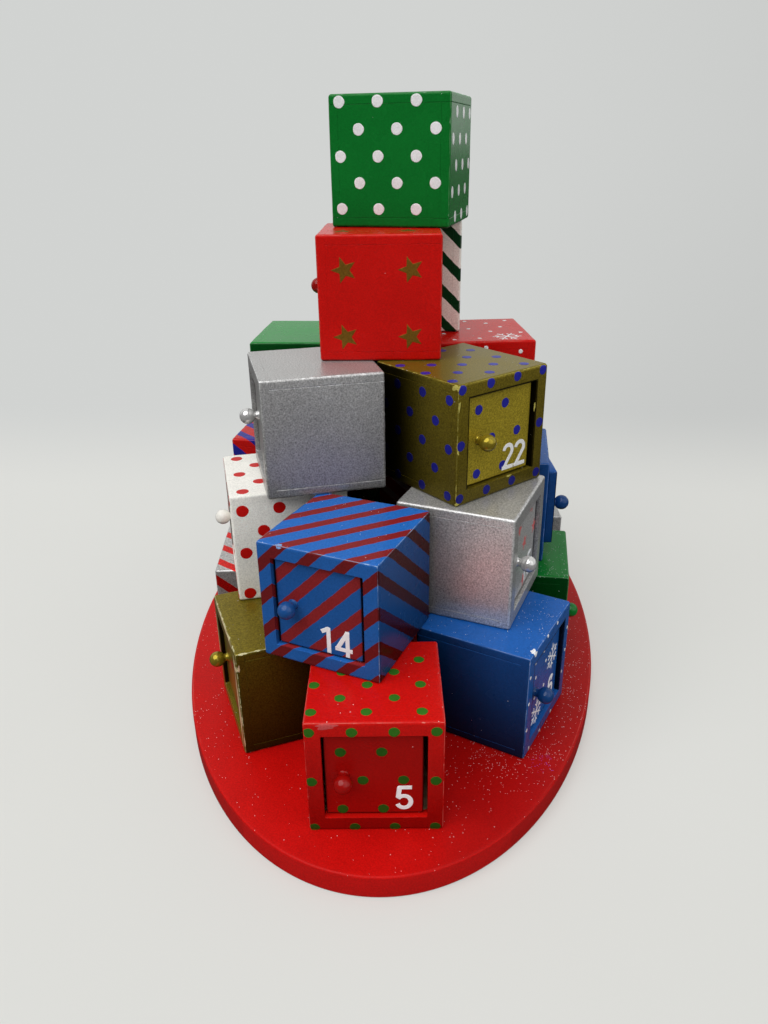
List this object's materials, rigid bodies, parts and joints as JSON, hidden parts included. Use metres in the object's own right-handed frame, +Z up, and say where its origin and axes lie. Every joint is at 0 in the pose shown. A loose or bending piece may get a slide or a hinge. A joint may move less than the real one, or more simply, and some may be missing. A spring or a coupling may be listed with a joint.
{
  "type": "wooden advent calendar",
  "caption": "Painted wooden advent calendar: cube boxes with numbered hinged doors and ball knobs, stacked in steps on an oval base.",
  "frame": {"origin": "middle of the underside of the oval base", "axes": "+Z up, +Y along the long axis of the oval, from the box with door 5 towards the back, +X to the right"},
  "size_m": [0.2678, 0.4788, 0.338],
  "materials": {
    "red_paint": "red acrylic paint on board, satin",
    "green_paint": "green acrylic paint on board, satin",
    "blue_paint": "blue acrylic paint on board, satin",
    "gold_paint": "metallic gold paint on board",
    "silver_paint": "metallic silver paint on board",
    "white_paint": "white acrylic paint on board, satin",
    "pin_steel": "plain steel wire"
  },
  "bodies": {
    "stack": {"base_plate": "red_paint", "hinge_pins": "pin_steel", "box_01": "green_paint", "box_02": "blue_paint", "box_03": "silver_paint", "box_04": "gold_paint", "box_05": "red_paint", "box_06": "blue_paint", "box_07": "green_paint", "box_08": "silver_paint", "box_09": "gold_paint", "box_10": "red_paint", "box_11": "white_paint", "box_12": "red_paint", "box_13": "white_paint", "box_14": "blue_paint", "box_15": "silver_paint", "box_16": "blue_paint", "box_17": "red_paint", "box_18": "red_paint", "box_19": "blue_paint", "box_20": "green_paint", "box_21": "silver_paint", "box_22": "gold_paint", "box_23": "red_paint", "box_24": "white_paint", "box_25": "green_paint"},
    "door_01": {"door_01": "green_paint"},
    "door_02": {"door_02": "blue_paint"},
    "door_03": {"door_03": "silver_paint"},
    "door_04": {"door_04": "gold_paint"},
    "door_05": {"door_05": "red_paint"},
    "door_06": {"door_06": "blue_paint"},
    "door_07": {"door_07": "green_paint"},
    "door_08": {"door_08": "silver_paint"},
    "door_09": {"door_09": "gold_paint"},
    "door_10": {"door_10": "red_paint"},
    "door_11": {"door_11": "white_paint"},
    "door_12": {"door_12": "red_paint"},
    "door_13": {"door_13": "white_paint"},
    "door_14": {"door_14": "blue_paint"},
    "door_15": {"door_15": "silver_paint"},
    "door_16": {"door_16": "blue_paint"},
    "door_17": {"door_17": "red_paint"},
    "door_18": {"door_18": "red_paint"},
    "door_19": {"door_19": "blue_paint"},
    "door_20": {"door_20": "green_paint"},
    "door_21": {"door_21": "silver_paint"},
    "door_22": {"door_22": "gold_paint"},
    "door_23": {"door_23": "red_paint"},
    "door_24": {"door_24": "white_paint"},
    "door_25": {"door_25": "green_paint"}
  },
  "joints": [
    {"name": "hinge_01", "type": "hinge", "parent": "stack", "child": "door_01", "pos_m": [-0.0962, 0.10982, 0.0455], "axis": [0, 0, 1], "range_deg": [0, 120]},
    {"name": "hinge_02", "type": "hinge", "parent": "stack", "child": "door_02", "pos_m": [-0.10984, 0.02219, 0.0455], "axis": [0, 0, 1], "range_deg": [0, 120]},
    {"name": "hinge_03", "type": "hinge", "parent": "stack", "child": "door_03", "pos_m": [-0.10424, -0.06281, 0.0455], "axis": [0, 0, 1], "range_deg": [0, 120]},
    {"name": "hinge_04", "type": "hinge", "parent": "stack", "child": "door_04", "pos_m": [-0.07575, -0.15015, 0.0455], "axis": [0, 0, 1], "range_deg": [0, 120]},
    {"name": "hinge_05", "type": "hinge", "parent": "stack", "child": "door_05", "pos_m": [0.02103, -0.20669, 0.0455], "axis": [0, 0, 1], "range_deg": [0, 120]},
    {"name": "hinge_06", "type": "hinge", "parent": "stack", "child": "door_06", "pos_m": [0.09646, -0.11123, 0.0455], "axis": [0, 0, 1], "range_deg": [0, 120]},
    {"name": "hinge_07", "type": "hinge", "parent": "stack", "child": "door_07", "pos_m": [0.11037, -0.023, 0.0455], "axis": [0, 0, 1], "range_deg": [0, 120]},
    {"name": "hinge_08", "type": "hinge", "parent": "stack", "child": "door_08", "pos_m": [0.10859, 0.06296, 0.0455], "axis": [0, 0, 1], "range_deg": [0, 120]},
    {"name": "hinge_09", "type": "hinge", "parent": "stack", "child": "door_09", "pos_m": [0.07579, 0.15024, 0.0455], "axis": [0, 0, 1], "range_deg": [0, 120]},
    {"name": "hinge_10", "type": "hinge", "parent": "stack", "child": "door_10", "pos_m": [-0.02039, 0.20719, 0.0455], "axis": [0, 0, 1], "range_deg": [0, 120]},
    {"name": "hinge_11", "type": "hinge", "parent": "stack", "child": "door_11", "pos_m": [-0.06275, 0.11576, 0.1105], "axis": [0, 0, 1], "range_deg": [0, 120]},
    {"name": "hinge_12", "type": "hinge", "parent": "stack", "child": "door_12", "pos_m": [-0.09892, -0.00576, 0.1105], "axis": [0, 0, 1], "range_deg": [0, 120]},
    {"name": "hinge_13", "type": "hinge", "parent": "stack", "child": "door_13", "pos_m": [-0.08332, -0.09755, 0.1105], "axis": [0, 0, 1], "range_deg": [0, 120]},
    {"name": "hinge_14", "type": "hinge", "parent": "stack", "child": "door_14", "pos_m": [-0.00804, -0.17607, 0.1105], "axis": [0, 0, 1], "range_deg": [0, 120]},
    {"name": "hinge_15", "type": "hinge", "parent": "stack", "child": "door_15", "pos_m": [0.08223, -0.08337, 0.1105], "axis": [0, 0, 1], "range_deg": [0, 120]},
    {"name": "hinge_16", "type": "hinge", "parent": "stack", "child": "door_16", "pos_m": [0.09548, -0.00345, 0.1105], "axis": [0, 0, 1], "range_deg": [-10, 110]},
    {"name": "hinge_17", "type": "hinge", "parent": "stack", "child": "door_17", "pos_m": [0.07203, 0.10082, 0.1105], "axis": [0, 0, 1], "range_deg": [0, 120]},
    {"name": "hinge_18", "type": "hinge", "parent": "stack", "child": "door_18", "pos_m": [0.07629, 0.02977, 0.1755], "axis": [0, 0, 1], "range_deg": [0, 120]},
    {"name": "hinge_19", "type": "hinge", "parent": "stack", "child": "door_19", "pos_m": [-0.02136, 0.10854, 0.1755], "axis": [0, 0, 1], "range_deg": [0, 120]},
    {"name": "hinge_20", "type": "hinge", "parent": "stack", "child": "door_20", "pos_m": [-0.08024, -0.01739, 0.1755], "axis": [0, 0, 1], "range_deg": [0, 120]},
    {"name": "hinge_21", "type": "hinge", "parent": "stack", "child": "door_21", "pos_m": [-0.06151, -0.10103, 0.1755], "axis": [0, 0, 1], "range_deg": [0, 120]},
    {"name": "hinge_22", "type": "hinge", "parent": "stack", "child": "door_22", "pos_m": [0.07497, -0.08175, 0.1755], "axis": [0, 0, 1], "range_deg": [0, 120]},
    {"name": "hinge_23", "type": "hinge", "parent": "stack", "child": "door_23", "pos_m": [-0.0322, -0.06173, 0.2405], "axis": [0, 0, 1], "range_deg": [0, 120]},
    {"name": "hinge_24", "type": "hinge", "parent": "stack", "child": "door_24", "pos_m": [-0.01186, 0.0607, 0.2405], "axis": [0, 0, 1], "range_deg": [0, 120]},
    {"name": "hinge_25", "type": "hinge", "parent": "stack", "child": "door_25", "pos_m": [-0.00737, 0.02325, 0.3055], "axis": [0, 0, 1], "range_deg": [0, 120]}
  ]
}
